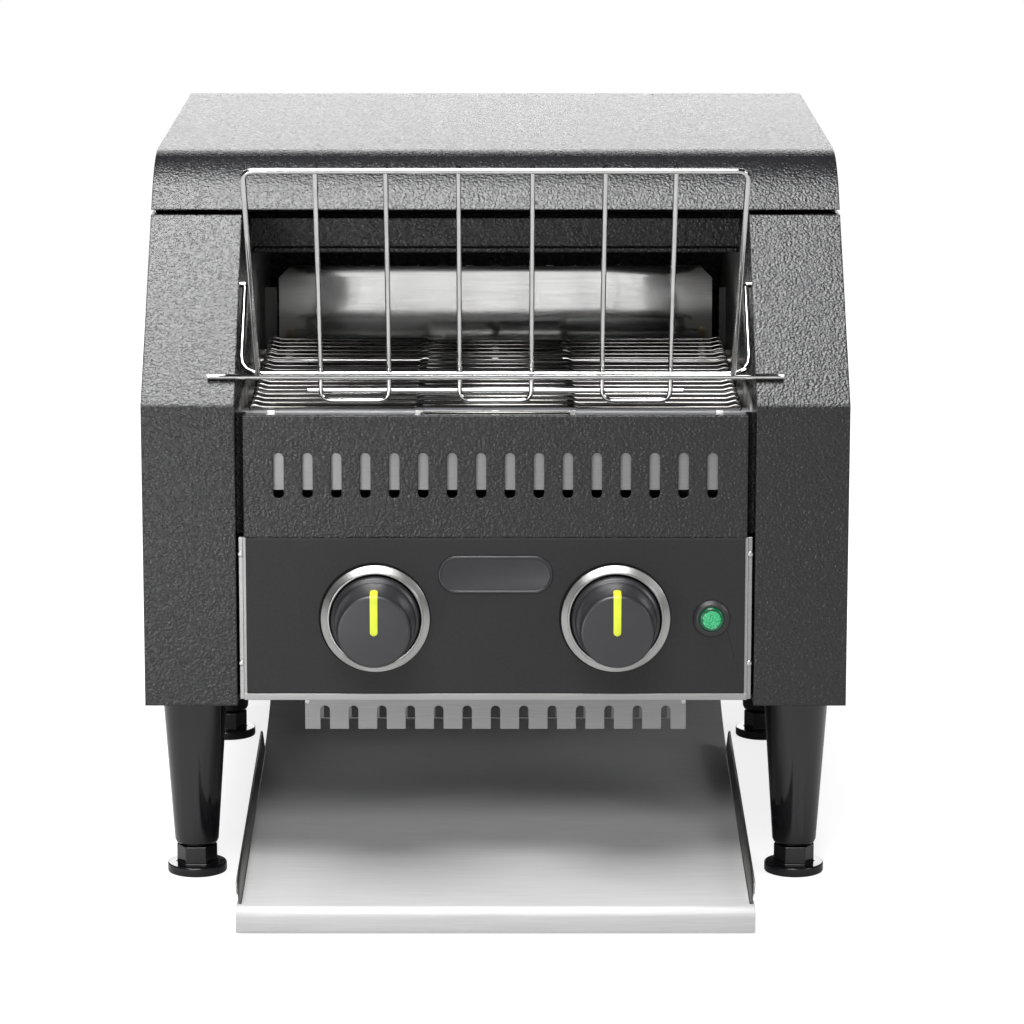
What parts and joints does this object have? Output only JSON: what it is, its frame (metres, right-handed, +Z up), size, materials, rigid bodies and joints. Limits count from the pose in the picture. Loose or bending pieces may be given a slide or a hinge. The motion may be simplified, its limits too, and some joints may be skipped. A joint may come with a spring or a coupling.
{
  "type": "conveyor toaster",
  "caption": "Tabletop conveyor toaster with a sloped front mouth, wire loading rack, chain-driven wire belt, knob controls and a catch tray between four legs.",
  "frame": {"origin": "on the table, at the middle of the footprint", "axes": "+X to the right seen from the front, +Y to the back, +Z up"},
  "size_m": [0.368, 0.506, 0.3922],
  "materials": {
    "black_coat": "fine orange-peel powder coat",
    "black_panel": "smooth satin coat",
    "dark_badge": "satin raised pill without marking",
    "stainless": "satin sheet",
    "trim_steel": "cut sheet edge",
    "comb_steel": "mill-finish sheet",
    "chute_steel": "smooth satin sheet",
    "tray_steel": "brushed sheet with a bent lip",
    "galvanised": "dull sheet",
    "zinc_steel": "plated",
    "ring_steel": "turned ring",
    "bright_wire": "polished wire",
    "belt_steel": "drawn wire",
    "shaft_steel": "turned",
    "dark_steel": "oiled",
    "bronze": "sintered",
    "motor_paint": "matte housing",
    "quartz": "milky tube",
    "ceramic_white": "ceramic cap",
    "black_plastic": "moulded",
    "cream_plastic": "moulded",
    "board_green": "circuit board",
    "green_lens": "translucent lens",
    "knob_plastic": "moulded, satin",
    "pointer_lime": "painted inlay",
    "leg_plastic": "glossy moulded"
  },
  "bodies": {
    "root": {"top_cover": "black_coat", "left_housing": "black_coat", "right_housing": "black_coat", "left_inner_wall": "stainless", "right_inner_wall": "stainless", "base_plate": "black_coat", "rear_panel": "black_coat", "front_header": "black_coat", "slot_panel": "black_coat", "control_panel": "black_panel", "control_chassis": "trim_steel", "heat_baffle": "galvanised", "badge_plate": "dark_badge", "comb_guard": "comb_steel", "comb_screws": "zinc_steel", "upper_reflector": "galvanised", "lower_reflector": "galvanised", "heat_shield": "galvanised", "rear_deflector": "chute_steel", "conveyor_belt": "belt_steel", "shaft_bushings": "bronze", "gear_motor": "motor_paint", "drive_chain": "dark_steel", "upper_heaters": "quartz", "lower_heaters": "quartz", "heater_end_caps": "ceramic_white", "fan_frame": "black_plastic", "rotary_switch": "cream_plastic", "speed_potentiometer": "motor_paint", "control_board": "board_green", "terminal_block": "cream_plastic", "safety_thermostat": "ceramic_white", "indicator_bezel": "black_plastic", "indicator_lens": "green_lens", "cable_gland": "black_plastic", "left_dial_ring": "ring_steel", "right_dial_ring": "ring_steel", "legs": "leg_plastic", "tray_rails": "galvanised", "case_screws": "zinc_steel"},
    "rack": {"rack_frame": "bright_wire", "rack_grid": "bright_wire"},
    "left_control": {"left_knob": "knob_plastic", "left_pointer": "pointer_lime", "switch_spindle": "zinc_steel"},
    "right_control": {"right_knob": "knob_plastic", "right_pointer": "pointer_lime", "speed_spindle": "zinc_steel"},
    "rear_roller": {"rear_shaft": "shaft_steel", "rear_sprockets": "shaft_steel", "drive_sprocket": "dark_steel"},
    "front_roller": {"front_shaft": "shaft_steel", "front_sprockets": "shaft_steel"},
    "motor_output": {"motor_sprocket": "dark_steel"},
    "fan": {"fan_rotor": "black_plastic"},
    "tray": {"toast_tray": "tray_steel"},
    "foot_fl": {"foot_front_left": "leg_plastic"},
    "foot_fr": {"foot_front_right": "leg_plastic"},
    "foot_rl": {"foot_rear_left": "leg_plastic"},
    "foot_rr": {"foot_rear_right": "leg_plastic"}
  },
  "joints": [
    {"name": "rack_hinge", "type": "hinge", "parent": "root", "child": "rack", "pos_m": [0, -0.112, 0.3157], "axis": [-1, 0, 0], "range_deg": [0, 60]},
    {"name": "mode_knob_turn", "type": "hinge", "parent": "root", "child": "left_control", "pos_m": [-0.0629, -0.176, 0.149], "axis": [0, 1, 0], "range_deg": [0, 270]},
    {"name": "speed_knob_turn", "type": "hinge", "parent": "root", "child": "right_control", "pos_m": [0.0629, -0.176, 0.149], "axis": [0, 1, 0], "range_deg": [-150, 150]},
    {"name": "rear_roller_spin", "type": "hinge", "parent": "root", "child": "rear_roller", "pos_m": [0, 0.0589, 0.2451], "axis": [1, 0, 0], "continuous": true},
    {"name": "front_roller_spin", "type": "hinge", "parent": "root", "child": "front_roller", "pos_m": [0, -0.157, 0.2451], "axis": [1, 0, 0], "continuous": true},
    {"name": "motor_spin", "type": "hinge", "parent": "root", "child": "motor_output", "pos_m": [0.14, 0.0144, 0.165], "axis": [1, 0, 0], "continuous": true},
    {"name": "fan_spin", "type": "hinge", "parent": "root", "child": "fan", "pos_m": [-0.06, 0.014, 0.11], "axis": [0, 0, 1], "continuous": true},
    {"name": "tray_slide", "type": "slide", "parent": "root", "child": "tray", "axis": [0, -1, 0], "range_m": [0, 0.15]},
    {"name": "foot_fl_screw", "type": "slide", "parent": "root", "child": "foot_fl", "axis": [0, 0, -1], "range_m": [0, 0.012]},
    {"name": "foot_fr_screw", "type": "slide", "parent": "root", "child": "foot_fr", "axis": [0, 0, -1], "range_m": [0, 0.012]},
    {"name": "foot_rl_screw", "type": "slide", "parent": "root", "child": "foot_rl", "axis": [0, 0, -1], "range_m": [0, 0.012]},
    {"name": "foot_rr_screw", "type": "slide", "parent": "root", "child": "foot_rr", "axis": [0, 0, -1], "range_m": [0, 0.012]}
  ],
  "couplings": [
    {"joint": "front_roller_spin", "follows": "rear_roller_spin", "ratio": 1},
    {"joint": "motor_spin", "follows": "rear_roller_spin", "ratio": 1.5}
  ]
}
